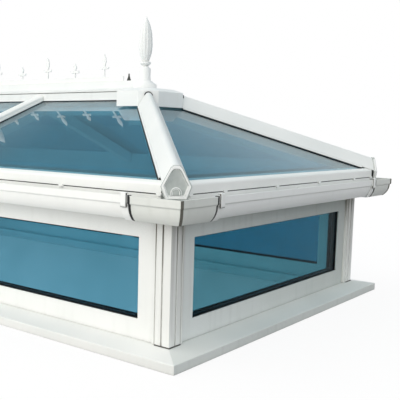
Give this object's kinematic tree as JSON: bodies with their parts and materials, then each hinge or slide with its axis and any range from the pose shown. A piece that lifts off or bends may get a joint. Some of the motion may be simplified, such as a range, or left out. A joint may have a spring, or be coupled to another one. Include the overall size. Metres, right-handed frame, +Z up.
{
  "type": "roof lantern",
  "caption": "Hipped glazed roof lantern on a sill, with glazed side frames, an ogee gutter, a cresting along the ridge and turned finials.",
  "frame": {"origin": "centre of the sill's underside", "axes": "+X along the ridge towards the right hipped end, +Y towards the back, +Z up"},
  "size_m": [2.77, 1.57, 1.1617],
  "materials": {
    "white_upvc": "satin",
    "white_powder_coated_aluminium": "satin",
    "blue_tinted_glass": "polished",
    "black_epdm": "matt",
    "black_spacer_bar": "matt"
  },
  "bodies": {
    "root": {"bar_caps": "white_upvc", "corner_posts": "white_upvc", "cresting": "white_upvc", "eaves_beams_end": "white_powder_coated_aluminium", "eaves_beams_long": "white_powder_coated_aluminium", "eaves_trims": "white_upvc", "finials": "white_upvc", "frame_back": "white_upvc", "frame_front": "white_upvc", "frame_left": "white_upvc", "frame_right": "white_upvc", "glass_back": "blue_tinted_glass", "glass_ends": "blue_tinted_glass", "glass_front": "blue_tinted_glass", "glazing_bars": "white_powder_coated_aluminium", "glazing_beads": "white_upvc", "glazing_spacers": "black_spacer_bar", "gutter_back": "white_upvc", "gutter_braces": "white_upvc", "gutter_corner_back_left": "white_upvc", "gutter_corner_back_right": "white_upvc", "gutter_corner_front_left": "white_upvc", "gutter_corner_front_right": "white_upvc", "gutter_front": "white_upvc", "gutter_left": "white_upvc", "gutter_right": "white_upvc", "gutter_seals": "black_epdm", "gutter_unions": "white_upvc", "hip_bars": "white_powder_coated_aluminium", "hip_caps": "white_upvc", "hip_end_plates": "white_upvc", "hub_bosses": "white_powder_coated_aluminium", "hub_covers": "white_upvc", "ridge_beam": "white_powder_coated_aluminium", "ridge_cap": "white_upvc", "ridge_flashing": "white_upvc", "roof_gaskets": "black_epdm", "roof_glass_back": "blue_tinted_glass", "roof_glass_ends": "blue_tinted_glass", "roof_glass_front": "blue_tinted_glass", "side_gaskets": "black_epdm", "sill_back": "white_upvc", "sill_front": "white_upvc", "sill_left": "white_upvc", "sill_right": "white_upvc"}
  },
  "joints": []
}
